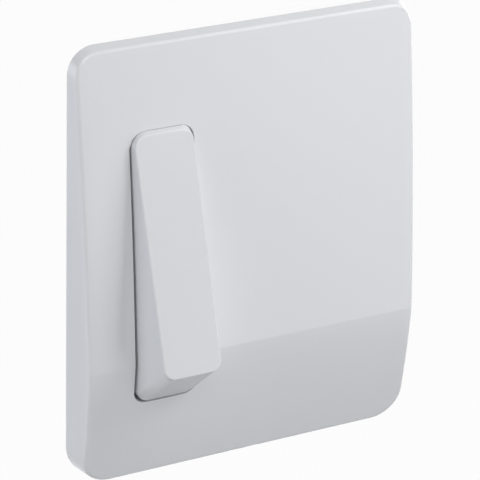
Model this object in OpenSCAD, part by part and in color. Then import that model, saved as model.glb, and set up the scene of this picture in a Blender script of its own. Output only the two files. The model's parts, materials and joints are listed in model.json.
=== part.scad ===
// Urinal flush plate: a moulded cover with a wedge-shaped press lever, its wall frame and its air pump.
// The wall plane is Y = 0. The cover stands in front of it at -Y, the frame's box and the pump lie behind it.
// +X is to the right as the user sees the plate, +Z is up, and the origin is the middle of the cover's back.

/* [Cover] */
// Width of the cover
plate_w = 130; // [126:1:150]
// Height of the cover
plate_h = 160; // [156:1:180]
// Height of the crease across the face, from the middle of the plate
crease_z = -32.8; // [-36:0.1:-30]
// Depth of the face at the crease
crease_depth = 15.6; // [14.5:0.1:18]
// Depth of the face at the top edge
top_depth = 2.8; // [2.8:0.1:5]
// Depth of the face at the bottom edge
bottom_depth = 9.4; // [9:0.1:12]
// Swell of the face above the crease, at its middle
upper_crown = 1.15; // [0.5:0.05:1.5]
// Swell of the face below the crease, at its middle
lower_crown = 0.95; // [0.5:0.05:1.5]
// Lean of the side walls between the back and the face
lean = 1.4; // [0.8:0.1:1.8]
// Rounding round the face
face_round = 2.6; // [2:0.1:2.6]
// Radius of the two top corners
top_corner_r = 9.5; // [8:0.5:12]
// Radius of the two bottom corners
bottom_corner_r = 12.6; // [10:0.1:14]
// Thickness of the side walls
side_wall = 2.2; // [1.8:0.1:2.4]
// Thickness of the face
face_wall = 2; // [1.6:0.1:2]

/* [Lever] */
// Middle of the lever and its opening, from the middle of the plate
lever_x = -34.2; // [-34.6:0.1:-33.8]
// Width of the lever at its base
lever_w = 22.2; // [21:0.1:22.4]
// Width of the lever across its front
lever_front_w = 20.8; // [20:0.1:21]
// Height of the lever's top edge
lever_top_z = 48.6; // [48.2:0.1:48.8]
// Height of the lever's lower edge where it stands out furthest
lever_nose_z = -29.8; // [-32:0.1:-28]
// Height of the lever's lowest edge
lever_base_z = -47.7; // [-47.8:0.1:-47]
// How far the lever's front stands out at the top
lever_top_depth = 8.55; // [8.4:0.05:9]
// How far the lever's front stands out at its lower edge
lever_nose_depth = 34.4; // [30:0.1:36]
// Gap round the lever in its opening
lever_gap = 1.1; // [0.9:0.1:1.3]
// Thickness of the lever's walls
lever_wall = 2; // [1.6:0.1:2.2]
// Radius of the lever's corners
lever_corner_r = 5.4; // [4.5:0.1:6]
// Rounding of the lever's front edges
lever_round = 1.1; // [0.8:0.1:1.4]
// Height of the pivot
pivot_z = 42; // [41:0.5:43]
// Depth of the pivot in front of the wall
pivot_depth = 3; // [2.5:0.1:3.2]
// Radius of the pivot pin
pin_r = 2; // [1.5:0.1:2]

/* [Wall frame] */
// Width of the frame's box
box_w = 106; // [104:1:106]
// Height of the frame's box
box_h = 131; // [129:1:131]
// Depth of the frame's box behind the wall plane
box_depth = 15; // [14:0.5:16]
// Width of the flange that lies on the wall
flange_w = 118; // [114:1:118]
// Height of the flange
flange_h = 142; // [140:1:142]
// Thickness of the flange
flange_t = 1.6; // [1.4:0.1:1.6]
// Width between the fixing screws
screw_dx = 86; // [84:1:88]
// Height between the fixing screws
screw_dz = 112; // [110:1:112]
// Radius of the free end of the fixing screws
screw_r = 2; // [1.5:0.1:2]
// Length of the fixing screws behind the wall plane
screw_reach = 35; // [30:1:60]

/* [Pump] */
// Height of the pump's axis
pump_z = -10; // [-12:0.5:-8]
// Inner radius of the pump's cup
cup_r = 12.2; // [11.8:0.1:12.6]
// Inner length of the pump's cup
cup_length = 20.2; // [19.6:0.1:24]
// Radius of the plunger's stem
stem_r = 6; // [5:0.5:6]
// Radius of the bellows at its crests
bellows_r = 11.2; // [10.6:0.1:11.2]
// Number of folds in the bellows
folds = 3; // [2:1:4]
// Number of turns of the return spring
spring_turns = 5; // [4:1:5]
// Radius of the hose spigot
spigot_r = 2.5; // [2:0.1:3]
// Length of the hose spigot
spigot_length = 12; // [8:1:14]

/* [Hidden] */
$fn = 64;
cut = 1;
corner_steps = 9;
low_steps = 4;
high_steps = 10;
round_steps = 5;
press_fit = 0.01;
thread_fit = 0.02;
running_fit = 0.05;

// Cover
half_w = plate_w / 2;
half_h = plate_h / 2;
inner_round = 1;
rib_t = 1.2;
rib_h = 2.2;
rib_back_y = -2.4;
rib_xs = [-8:20:52];
rib_zs = [-56:22:32];
opening_w = lever_w + 2 * lever_gap;
opening_z0 = lever_base_z - 0.8;
opening_z1 = lever_top_z + 0.6;
opening_r = 6;
collar_wall = 1.8;
collar_back_y = -4.4;
pivot_boss_r = 4;
pivot_boss_w = 4.2;
pivot_seat_y = -6.9;
pin_hole_end = opening_w / 2 + pivot_boss_w - 0.6;
leg_x = 30;
leg_w = 9;
leg_t = 1.8;
leg_z = 61.3;
leg_front_y = -3.9;
leg_back_y = 6;
leg_root_y = -12;
leg_bead_r = 0.5;
leg_bead_y = leg_back_y - 0.9;
screw_gap = 0.2;
lock_depth = 4.2;
lock_head_r = 3.4;
lock_head_z = -76;
lock_boss_w = 10;
lock_boss_top_z = -74.5;
lock_boss_back_y = -0.8;

// Lever
lever_back_y = -4;
lever_slope = (lever_nose_depth - lever_top_depth) / (lever_top_z - lever_nose_z);
lever_base_low = 13.2;
lever_base_high = 6.4;
lever_draft = 0.1;
lever_front_corner_r = lever_corner_r - 0.6;
lever_front_wall = 2.1;
lever_nose_wall = 1.9;
hollow_step_low = 0.8;
hollow_step_high = 1.6;
lever_boss_w = 4.8;
lever_boss_x = lever_w / 2 - 0.15 - lever_boss_w / 2;
press_bar_r = 2.5;
press_bar_w = 10;
press_bar_y = -1.75;
press_bar_root_y = -20;
web_back_y = -7;
web_t = 1.2;
web_zs = [-28, 7, 24];
catch_w = 8;
rest_pad_back_y = -2.9;
catch_drop = 2.9;
catch_root_y = lever_back_y - 3;
catch_front_y = -2.7;
catch_back_y = -0.6;
catch_low_z = lever_base_z + 0.3;
catch_high_z = lever_base_z + 2.3;

// Wall frame
box_wall = 2;
box_corner_r = 6;
flange_corner_r = 8;
floor_t = 3;
floor_y = box_depth - floor_t;
window_w = 42;
window_h = 88;
window_x = 21;
window_r = 5;
window_rim = 1.5;
stop_x = lever_w / 2 - 1.1;
stop_z = -34;
stop_post_r = 3.2;
stop_post_y = 7.1;
pad_r = 2.4;
stop_pad_y = 5.9;
stop_pad_seat_y = stop_post_y + 1.5;
clip_t = 0.4;
clip_w = 8;
clip_slot_w = clip_w + 0.6;
clip_slot_h = 1;
clip_slot_z = box_h / 2 + 2.3;
boss_w = 12;
boss_front_y = -8.2;
insert_r = 3;
insert_length = 6.7;
boss_end = 0.5;
boss_z = -flange_h / 2;
back_rib_t = 1.4;
back_rib_h = 1.5;
back_rib_zs = [-50, 28, 50];
seat_rim = 1.7;

// Fixing screws
washer_t = 0.8;
washer_r = 4.5;
screw_hole_r = screw_r + 0.3;
screw_body_r = screw_r + 0.2;
screw_body_y = box_depth + 0.4;
screw_boss_r = 5.5;
screw_boss_y = floor_y - 1;
head_h = 2.4;
head_r = 3.7;
cross_depth = 1.4;
cross_w = 0.8;
cross_length = 4;
key_r = 1.45;
key_depth = 1.6;

// Pump
cap_t = 1.5;
cap_lip_r = cup_r - 0.1;
cap_lip_t = 1.2;
cap_lip_h = 1.2;
cup_wall = 1.6;
pump_flange = 33;
pump_flange_t = 3;
pump_corner_r = 4.5;
cup_front_y = floor_y - pump_flange_t;
cap_front_y = cup_front_y - cap_t;
cup_end_y = cup_front_y + cup_length;
seat_r = cup_r + cup_wall + 0.1;
pump_screw_offset = 12.6;
pump_screw_r = 1.25;
pump_screw_gap = 0.25;
pump_screw_reach_y = box_depth + 2;
pump_head_r = 2.4;
pump_head_h = 1.8;
pump_cross_length = 2.8;
pump_cross_w = 0.6;
pump_cross_depth = 1;
pump_boss_r = 3;
pump_boss_h = 2.6;
sleeve_r = 8.2;
stem_front_y = 1.4;
disc_y = 13.2;
disc_t = 1.8;
disc_r = 11;
plunger_pad_r = 4.2;
plunger_pad_y = 0.9;
pad_seat_y = stem_front_y + 2;
bellows_y = disc_y + disc_t + 0.1;
bellows_wall = 0.9;
bellows_root_r = 8.8;
bellows_end_t = 1;
folds_y = bellows_y + 1.2;
bellows_lip_t = 1;
bellows_lip_r = cup_r - 0.4;
neck_length = 1.9;
ring_t = 0.8;
spring_r = 6.6;
wire_r = 0.5;
nipple_boss_r = 6;
nipple_boss_t = 1.9;
nipple_shank_r = 2.9;
nipple_collar_r = 5;
nipple_collar_t = 1.5;
nipple_end = 1;
nipple_end_draw = 0.6;
seal_r = 4.5;
seal_hole_r = 3.5;
seal_t = 0.8;
air_bore_r = 1.4;
nipple_seat_y = cup_end_y + cup_wall + nipple_boss_t;

// A flat outline drawn in X and Z, made solid between two Y planes
module slab(y0, y1) translate([0, y1, 0]) rotate([90, 0, 0]) linear_extrude(y1 - y0) children();

// A half profile drawn as radius and Y, turned round a line along Y
module turned() rotate([-90, 0, 0]) rotate_extrude() children();

// A round bar along X, Y or Z
module bar_x(r, x0, x1) translate([x0, 0, 0]) rotate([0, 90, 0]) cylinder(r = r, h = x1 - x0);
module bar_y(r, y0, y1) translate([0, y0, 0]) rotate([-90, 0, 0]) cylinder(r = r, h = y1 - y0);
module bar_z(r, z0, z1) translate([0, 0, z0]) cylinder(r = r, h = z1 - z0);

// A block between two corners
module block(low, high) translate(low) cube(high - low);

// A rectangle with round corners, about the origin
module rounded(w, h, r) {
    square([w - 2 * r, h], center = true);
    square([w, h - 2 * r], center = true);
    for (x = [-1, 1], z = [-1, 1]) translate([x * (w / 2 - r), z * (h / 2 - r)]) circle(r);
}

// Points along an arc
function arc(cx, cz, r, a0, a1, steps) =
    [for (i = [0:steps]) let (a = a0 + (a1 - a0) * i / steps) [cx + r * cos(a), cz + r * sin(a)]];

// A closed outline from its right half, listed from the bottom up
function closed(half) =
    concat(half, [for (i = [len(half) - 1:-1:0]) [-half[i][0], half[i][1]]]);

// A skin over closed rings that follow each other towards -Y, with flat strips across both ends
module loft(rings) {
    n = len(rings[0]);
    last = (len(rings) - 1) * n;
    strips = [for (i = [0:n / 2 - 2]) [i, i + 1, n - 2 - i, n - 1 - i]];
    back = strips;
    front = [for (s = strips) [for (k = [3:-1:0]) last + s[k]]];
    sides = [for (k = [0:len(rings) - 2], i = [0:n - 1])
        let (a = k * n + i, b = k * n + (i + 1) % n)
        each [[a, a + n, b + n], [a, b + n, b]]];
    polyhedron([for (ring = rings) each ring], concat(back, front, sides), convexity = 6);
}

// Depth of the cover's face in front of the wall at height z
function face_depth(z) = z > crease_z
    ? let (u = min(1, (z - crease_z) / (half_h - crease_z)))
        crease_depth + (top_depth - crease_depth) * u + 4 * upper_crown * u * (1 - u)
    : let (u = min(1, (crease_z - z) / (crease_z + half_h)))
        crease_depth + (bottom_depth - crease_depth) * u + 4 * lower_crown * u * (1 - u);

// The cover's outline, drawn in from the back edge by inset
function cover_outline(inset) = closed(concat(
    arc(half_w - bottom_corner_r, bottom_corner_r - half_h, bottom_corner_r - inset, -90, 0, corner_steps),
    [for (i = [1:low_steps])
        [half_w - inset, bottom_corner_r - half_h + (crease_z + half_h - bottom_corner_r) * i / low_steps]],
    [for (i = [1:high_steps - 1])
        [half_w - inset, crease_z + (half_h - top_corner_r - crease_z) * i / high_steps]],
    arc(half_w - top_corner_r, half_h - top_corner_r, top_corner_r - inset, 0, 90, corner_steps)));

// One ring of the cover: drop is how far it lies behind the face
function cover_ring(inset, drop) = [for (p = cover_outline(inset)) [p[0], drop - face_depth(p[1]), p[1]]];
function flat_ring(inset, y) = [for (p = cover_outline(inset)) [p[0], y, p[1]]];

// The face with its rounded edge, back to the wall plane or past it
module cover_form(inset, depth_in, round_r, back_y)
    loft(concat([flat_ring(inset, back_y)],
        [for (i = [0:round_steps]) let (a = 90 * i / round_steps)
            cover_ring(inset + lean + round_r * (1 - cos(a)), depth_in + round_r * (1 - sin(a)))]));

// The opening for the lever, wider by grow on every side
module opening_outline(grow)
    translate([lever_x, (opening_z0 + opening_z1) / 2])
        rounded(opening_w + 2 * grow, opening_z1 - opening_z0 + 2 * grow, opening_r + grow);

// A grid of ribs of one height on the back of the face
module cover_ribs() difference() {
    union() {
        for (x = rib_xs) block([x - rib_t / 2, -crease_depth, -half_h], [x + rib_t / 2, rib_back_y, half_h]);
        for (z = rib_zs)
            block([lever_x + opening_w / 2, -crease_depth, z - rib_t / 2],
                [half_w, rib_back_y, z + rib_t / 2]);
    }
    cover_form(side_wall, face_wall + rib_h, inner_round, cut);
}

// The ribs, collar and boss that stand on the back of the face, before they are trimmed to it
module cover_inside() {
    slab(-crease_depth - cut, collar_back_y) opening_outline(collar_wall);
    cover_ribs();
    block([-lock_boss_w / 2, -crease_depth, -half_h], [lock_boss_w / 2, lock_boss_back_y, lock_boss_top_z]);
}

// One leg that snaps into a clip, with a bead near its end
module cover_leg() {
    block([-leg_w / 2, leg_front_y, leg_z - leg_t / 2], [leg_w / 2, leg_back_y, leg_z + leg_t / 2]);
    translate([0, leg_bead_y, leg_z + leg_t / 2]) bar_x(leg_bead_r, -leg_w / 2, leg_w / 2);
}

// The bosses beside the lever that hold its pin
module pivot_bosses(w)
    for (side = [-1, 1]) translate([lever_x + side * (opening_w / 2 + w / 2), 0, pivot_z]) {
        translate([0, -pivot_depth, 0]) bar_x(pivot_boss_r, -w / 2, w / 2);
        block([-w / 2, pivot_seat_y, -pivot_boss_r], [w / 2, -pivot_depth, pivot_boss_r]);
    }

module cover_plate() color([0.89, 0.9, 0.92]) difference() {
    union() {
        difference() {
            cover_form(0, 0, face_round, 0);
            difference() {
                cover_form(side_wall, face_wall, inner_round, cut);
                cover_inside();
            }
            slab(-crease_depth - cut, cut) opening_outline(0);
        }
        pivot_bosses(pivot_boss_w);
        for (x = [-leg_x, leg_x], side = [0, 1]) translate([x, 0, 0]) mirror([0, 0, side]) cover_leg();
        for (x = [-leg_x, leg_x])
            block([x - leg_w / 2, leg_root_y, -leg_z - leg_t / 2],
                [x + leg_w / 2, leg_front_y, leg_t / 2 - leg_z]);
    }
    translate([lever_x, -pivot_depth, pivot_z])
        bar_x(pin_r + press_fit, -pin_hole_end, opening_w / 2 + pivot_boss_w + cut);
    translate([0, -lock_depth, 0]) {
        bar_z(lock_head_r + screw_gap, -half_h - cut, lock_head_z);
        bar_z(screw_r + screw_gap, -half_h, lock_boss_top_z + cut);
    }
}

// Depth of the lever's front at height z
function lever_depth(z) = lever_top_depth + (lever_top_z - z) * lever_slope;

// One ring of the lever between two heights, with its depth at the lower and at the upper end
function lever_ring(z0, z1, half, r, low, high) = [for (p = closed(concat(
        arc(half - r, z0 + r, r, -90, 0, corner_steps),
        arc(half - r, z1 - r, r, 0, 90, corner_steps))))
    [p[0], -low - (high - low) * (p[1] - z0) / (z1 - z0), p[1]]];

// The outer form of the lever: back edge, base, then the rounded edge of its front
module lever_form() loft(concat(
    [lever_ring(lever_base_z + 2 * lever_draft, lever_top_z - 3 * lever_draft, lever_w / 2 - lever_draft,
        lever_corner_r - lever_draft, -lever_back_y, -lever_back_y),
    lever_ring(lever_base_z, lever_top_z - lever_draft, lever_w / 2, lever_corner_r,
        lever_base_low, lever_base_high)],
    [for (i = [0:round_steps])
        let (a = 90 * i / round_steps,
            inset = lever_round * (1 - cos(a)),
            drop = lever_round * (1 - sin(a)),
            z0 = lever_nose_z + inset,
            z1 = lever_top_z - inset)
        lever_ring(z0, z1, lever_front_w / 2 - inset, lever_front_corner_r - inset,
            lever_depth(z0) - drop, lever_depth(z1) - drop)]));

// The hollow of the lever, open at its back
module lever_hollow() {
    t = lever_wall;
    r = lever_corner_r - t;
    z0 = lever_nose_z + lever_nose_wall;
    z1 = lever_top_z - t;
    loft([
        lever_ring(lever_base_z + t, z1, lever_w / 2 - t, r, cut, cut),
        lever_ring(lever_base_z + t, z1, lever_w / 2 - t, r,
            lever_base_low - hollow_step_low, lever_base_high - hollow_step_high),
        lever_ring(z0, z1, lever_front_w / 2 - t, lever_front_corner_r - t,
            lever_depth(z0) - lever_front_wall, lever_depth(z1) - lever_front_wall)]);
}

// The webs that stiffen the lever, before they are trimmed to its hollow
module lever_webs() {
    y0 = -lever_nose_depth;
    for (z = web_zs) block([-lever_w / 2, y0, z - web_t / 2], [lever_w / 2, web_back_y, z + web_t / 2]);
    block([-lever_w / 2, y0, pump_z - web_t], [lever_w / 2, web_back_y, pump_z + web_t]);
}

module flush_lever() color([0.87, 0.88, 0.9]) translate([lever_x, 0, 0]) difference() {
    union() {
        difference() {
            lever_form();
            difference() {
                lever_hollow();
                lever_webs();
            }
        }
        // bar that presses the plunger
        translate([0, press_bar_y, pump_z]) bar_x(press_bar_r, -press_bar_w / 2, press_bar_w / 2);
        block([-press_bar_w / 2, press_bar_root_y, pump_z - press_bar_r],
            [press_bar_w / 2, press_bar_y, pump_z + press_bar_r]);
        // pivot bosses
        for (side = [-1, 1]) translate([side * lever_boss_x, 0, pivot_z]) {
            translate([0, -pivot_depth, 0]) bar_x(pivot_boss_r, -lever_boss_w / 2, lever_boss_w / 2);
            block([-lever_boss_w / 2, pivot_seat_y, -pivot_boss_r],
                [lever_boss_w / 2, -pivot_depth, pivot_boss_r]);
        }
        // catch that keeps the lever from swinging out of its opening
        block([-catch_w / 2, catch_root_y, catch_low_z], [catch_w / 2, catch_back_y, catch_high_z]);
        block([-catch_w / 2, catch_front_y, lever_base_z - catch_drop],
            [catch_w / 2, catch_back_y, catch_low_z]);
    }
    translate([0, -pivot_depth, pivot_z]) bar_x(pin_r + running_fit, -lever_w, lever_w);
}

module pivot_pin() color([0.72, 0.73, 0.75]) translate([lever_x, -pivot_depth, pivot_z])
    bar_x(pin_r, 0.1 - pin_hole_end, opening_w / 2 + pivot_boss_w - 0.2);

// Where the fixing screws, the pump's screws and the two stops stand
module at_fixing_screws()
    for (x = [-1, 1], z = [-1, 1]) translate([x * screw_dx / 2, 0, z * screw_dz / 2]) children();

module at_pump_screws() for (x = [-1, 1], z = [-1, 1])
    translate([lever_x + x * pump_screw_offset, 0, pump_z + z * pump_screw_offset]) children();

module at_stops() for (x = [-1, 1]) translate([lever_x + x * stop_x, 0, stop_z]) children();

// The window in the floor of the box, wider by grow on every side
module window_outline(grow)
    translate([window_x, 0]) rounded(window_w + 2 * grow, window_h + 2 * grow, window_r + grow);

// What stands on the back of the box: ribs, a rim round the pump's seat and bosses for the pump's screws
module frame_back() {
    y0 = box_depth - 0.1;
    y1 = box_depth + back_rib_h;
    for (z = back_rib_zs) block([-box_w / 2, y0, z - back_rib_t / 2], [box_w / 2, y1, z + back_rib_t / 2]);
    block([lever_x - back_rib_t / 2, y0, -box_h / 2], [lever_x + back_rib_t / 2, y1, box_h / 2]);
    slab(y0, y1) window_outline(window_rim);
    translate([lever_x, 0, pump_z]) bar_y(seat_r + seat_rim, y0, y1);
    at_pump_screws() bar_y(pump_boss_r, y0, box_depth + pump_boss_h);
}

module mounting_frame() color([0.3, 0.32, 0.35]) difference() {
    union() {
        slab(-flange_t, 0) rounded(flange_w, flange_h, flange_corner_r);
        slab(0, box_depth) rounded(box_w, box_h, box_corner_r);
        frame_back();
        block([-boss_w / 2, boss_front_y, boss_z], [boss_w / 2, 0, boss_z + insert_length + boss_end]);
    }
    // inside of the box, with what stands on its floor
    difference() {
        slab(-flange_t - cut, floor_y)
            rounded(box_w - 2 * box_wall, box_h - 2 * box_wall, box_corner_r - box_wall);
        at_fixing_screws() bar_y(screw_boss_r, screw_boss_y, floor_y);
        at_stops() bar_y(stop_post_r, stop_post_y, floor_y);
        slab(floor_y - window_rim, floor_y) window_outline(window_rim);
    }
    slab(0, box_depth + back_rib_h + cut) window_outline(0);
    at_fixing_screws() bar_y(screw_hole_r, 0, box_depth + cut);
    translate([lever_x, 0, pump_z]) bar_y(seat_r, 0, box_depth + back_rib_h + cut);
    at_pump_screws() bar_y(pump_screw_r + thread_fit, 0, pump_screw_reach_y + thread_fit);
    at_stops() bar_y(pad_r + thread_fit, stop_post_y - cut, stop_pad_seat_y);
    translate([0, -lock_depth, 0]) bar_z(insert_r + thread_fit, boss_z - cut, boss_z + insert_length);
    // slots that the clips hook into
    for (x = [-leg_x, leg_x], side = [-1, 1]) translate([x, 0, side * clip_slot_z])
        block([-clip_slot_w / 2, -flange_t - cut, -clip_slot_h / 2], [clip_slot_w / 2, cut, clip_slot_h / 2]);
}

// A folded spring clip: it hooks over the flange and bears on a leg with the bend of its inner leaf
module clip() {
    zi = box_h / 2 - box_wall - 0.2;
    zo = box_h / 2 + 2.5;
    translate([-clip_w / 2, 0, 0]) rotate([90, 0, 90]) linear_extrude(clip_w) polygon([
        [-flange_t - clip_t, zi - clip_t], [1, zi - clip_t], [3.4, zi - 1.05], [5.6, zi - clip_t],
        [8, zi - 0.9], [8, zi - 0.5], [5.6, zi], [3.4, zi - 0.65], [1, zi], [-flange_t, zi],
        [-flange_t, zo - clip_t], [3, zo - clip_t], [3, zo], [-flange_t - clip_t, zo]]);
}

module retaining_clips() color([0.75, 0.76, 0.78])
    for (x = [-leg_x, leg_x], side = [0, 1]) translate([x, 0, 0]) mirror([0, 0, side]) clip();

module locking_screw() color([0.75, 0.76, 0.78]) translate([0, -lock_depth, 0]) difference() {
    union() {
        bar_z(lock_head_r, lock_head_z - head_h, lock_head_z);
        bar_z(screw_r - running_fit, lock_head_z - 0.1, boss_z + insert_length - 0.7);
    }
    translate([0, 0, lock_head_z - head_h - cut]) cylinder(r = key_r, h = cut + key_depth, $fn = 6);
}

module locking_insert() color([0.8, 0.65, 0.3]) translate([0, -lock_depth, boss_z]) difference() {
    cylinder(r = insert_r, h = insert_length);
    translate([0, 0, -cut]) cylinder(r = screw_r, h = insert_length + 2 * cut);
}

module fixing_screws() color([0.75, 0.76, 0.78]) at_fixing_screws() {
    head_y = screw_boss_y - washer_t;
    difference() {
        union() {
            bar_y(head_r, head_y - head_h, head_y);
            bar_y(screw_body_r, head_y - 0.1, screw_body_y + 0.1);
            bar_y(screw_r, screw_body_y, screw_reach);
        }
        for (turn = [0, 90]) rotate([0, turn, 0])
            block([-cross_length / 2, head_y - head_h - cut, -cross_w / 2],
                [cross_length / 2, head_y - head_h + cross_depth, cross_w / 2]);
    }
}

module screw_washers() color([0.7, 0.71, 0.73]) at_fixing_screws() difference() {
    bar_y(washer_r, screw_boss_y - washer_t, screw_boss_y);
    bar_y(screw_hole_r, 0, box_depth);
}

module pump_body() color([0.16, 0.17, 0.19]) difference() {
    translate([lever_x, 0, pump_z]) {
        slab(cup_front_y, floor_y) rounded(pump_flange, pump_flange, pump_corner_r);
        bar_y(cup_r + cup_wall, cup_front_y, cup_end_y + cup_wall);
        bar_y(nipple_boss_r, cup_end_y, nipple_seat_y);
    }
    translate([lever_x, 0, pump_z]) {
        bar_y(cup_r, cup_front_y - cut, cup_end_y);
        bar_y(nipple_shank_r + running_fit, cup_front_y, nipple_seat_y + cut);
        difference() {
            bar_y(seal_r + 0.1, nipple_seat_y - seal_t, nipple_seat_y + cut);
            bar_y(seal_hole_r - 0.1, cup_front_y, nipple_seat_y + 2 * cut);
        }
    }
    at_pump_screws() bar_y(pump_screw_r + pump_screw_gap, cup_front_y - cut, floor_y + cut);
}

module pump_cap() color([0.55, 0.57, 0.6]) difference() {
    translate([lever_x, 0, pump_z]) {
        slab(cap_front_y, cup_front_y) rounded(pump_flange, pump_flange, pump_corner_r);
        difference() {
            bar_y(cap_lip_r, cap_front_y, cup_front_y + cap_lip_h);
            bar_y(cap_lip_r - cap_lip_t, cup_front_y, cup_front_y + cap_lip_h + cut);
        }
        bar_y(sleeve_r, cap_front_y, disc_y - 0.3);
    }
    translate([lever_x, 0, pump_z]) bar_y(stem_r + running_fit, cap_front_y - cut, disc_y);
    at_pump_screws() bar_y(pump_screw_r + pump_screw_gap, cap_front_y - cut, cup_front_y + cut);
}

module pump_screws() color([0.75, 0.76, 0.78]) at_pump_screws() difference() {
    union() {
        bar_y(pump_head_r, cap_front_y - pump_head_h, cap_front_y);
        bar_y(pump_screw_r, cap_front_y - 0.1, pump_screw_reach_y);
    }
    for (turn = [0, 90]) rotate([0, turn, 0])
        block([-pump_cross_length / 2, cap_front_y - pump_head_h - cut, -pump_cross_w / 2],
            [pump_cross_length / 2, cap_front_y - pump_head_h + pump_cross_depth, pump_cross_w / 2]);
}

module plunger() color([0.85, 0.86, 0.87]) translate([lever_x, 0, pump_z]) turned() polygon([
    [0, pad_seat_y], [plunger_pad_r, pad_seat_y], [plunger_pad_r, stem_front_y],
    [stem_r - 0.4, stem_front_y], [stem_r, stem_front_y + 0.4], [stem_r, disc_y], [disc_r, disc_y],
    [disc_r, disc_y + disc_t], [0, disc_y + disc_t]]);

module plunger_pad() color([0.12, 0.12, 0.13]) translate([lever_x, 0, pump_z]) turned() polygon([
    [0, plunger_pad_y], [plunger_pad_r - 0.6, plunger_pad_y],
    [plunger_pad_r - running_fit, plunger_pad_y + 0.55], [plunger_pad_r - running_fit, pad_seat_y],
    [0, pad_seat_y]]);

// One wall of the bellows: a zigzag between root and crest, moved in by inset
function folds_line(inset) = [for (i = [0:2 * folds])
    [(i % 2 == 0 ? bellows_root_r : bellows_r) - inset,
        folds_y + (cup_end_y - neck_length - folds_y) * i / (2 * folds)]];

module bellows() color([0.1, 0.1, 0.11]) translate([lever_x, 0, pump_z]) turned() {
    inner = folds_line(bellows_wall);
    polygon(concat([[0, bellows_y], [bellows_root_r, bellows_y]], folds_line(0),
        [[bellows_root_r, cup_end_y - bellows_lip_t], [bellows_lip_r, cup_end_y - bellows_lip_t],
        [bellows_lip_r, cup_end_y], [bellows_root_r - bellows_wall, cup_end_y]],
        [for (i = [len(inner) - 1:-1:0]) inner[i]],
        [[bellows_root_r - bellows_wall, bellows_y + bellows_end_t], [0, bellows_y + bellows_end_t]]));
}

module bellows_ring() color([0.75, 0.76, 0.78]) translate([lever_x, 0, pump_z]) difference() {
    bar_y(cup_r - 0.1, cup_end_y - bellows_lip_t - ring_t, cup_end_y - bellows_lip_t);
    bar_y(bellows_root_r + 0.6, cup_front_y, cup_end_y);
}

// A coil of round wire: rings of wire_sides points, each turned to face along the coil
module return_spring() color([0.7, 0.71, 0.73]) translate([lever_x, 0, pump_z]) {
    wire_sides = 6;
    steps = 14 * spring_turns;
    y0 = bellows_y + bellows_end_t + 0.05 + wire_r;
    y1 = cup_end_y - 0.05 - wire_r;
    points = [for (i = [0:steps], k = [0:wire_sides - 1])
        let (a = 360 * spring_turns * i / steps,
            b = 360 * k / wire_sides,
            r = spring_r + wire_r * cos(b))
        [r * cos(a), y0 + (y1 - y0) * i / steps + wire_r * sin(b), r * sin(a)]];
    start = [for (k = [wire_sides - 1:-1:0]) k];
    end = [for (k = [0:wire_sides - 1]) steps * wire_sides + k];
    sides = [for (i = [0:steps - 1], k = [0:wire_sides - 1])
        let (a = i * wire_sides + k, b = i * wire_sides + (k + 1) % wire_sides)
        each [[a, b, b + wire_sides], [a, b + wire_sides, a + wire_sides]]];
    polyhedron(points, concat([start, end], sides), convexity = 10);
}

module hose_nipple() color([0.85, 0.86, 0.87]) translate([lever_x, 0, pump_z]) {
    y1 = nipple_seat_y + nipple_collar_t;
    y2 = y1 + spigot_length;
    turned() polygon([[air_bore_r, cup_end_y + 0.1], [nipple_shank_r, cup_end_y + 0.1],
        [nipple_shank_r, nipple_seat_y], [nipple_collar_r, nipple_seat_y], [nipple_collar_r, y1],
        [spigot_r, y1], [spigot_r, y2], [spigot_r - nipple_end_draw, y2 + nipple_end],
        [air_bore_r, y2 + nipple_end]]);
}

module nipple_seal() color([0.1, 0.1, 0.11]) translate([lever_x, 0, pump_z]) difference() {
    bar_y(seal_r, nipple_seat_y - seal_t, nipple_seat_y);
    bar_y(seal_hole_r, cup_end_y, nipple_seat_y + cut);
}

module rest_pad() color([0.15, 0.15, 0.16]) translate([lever_x, 0, opening_z0])
    block([-catch_w / 2, collar_back_y, 0.1 - collar_wall], [catch_w / 2, rest_pad_back_y, -0.3]);

module stop_pads() color([0.15, 0.15, 0.16])
    at_stops() bar_y(pad_r, stop_pad_y, stop_pad_seat_y);

cover_plate();
flush_lever();
pivot_pin();
mounting_frame();
retaining_clips();
locking_screw();
locking_insert();
fixing_screws();
screw_washers();
pump_body();
pump_cap();
pump_screws();
plunger();
plunger_pad();
bellows();
bellows_ring();
return_spring();
hose_nipple();
nipple_seal();
rest_pad();
stop_pads();
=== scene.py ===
"""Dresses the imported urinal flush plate: moulded skins, cut threads, finishes, light and camera."""

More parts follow.
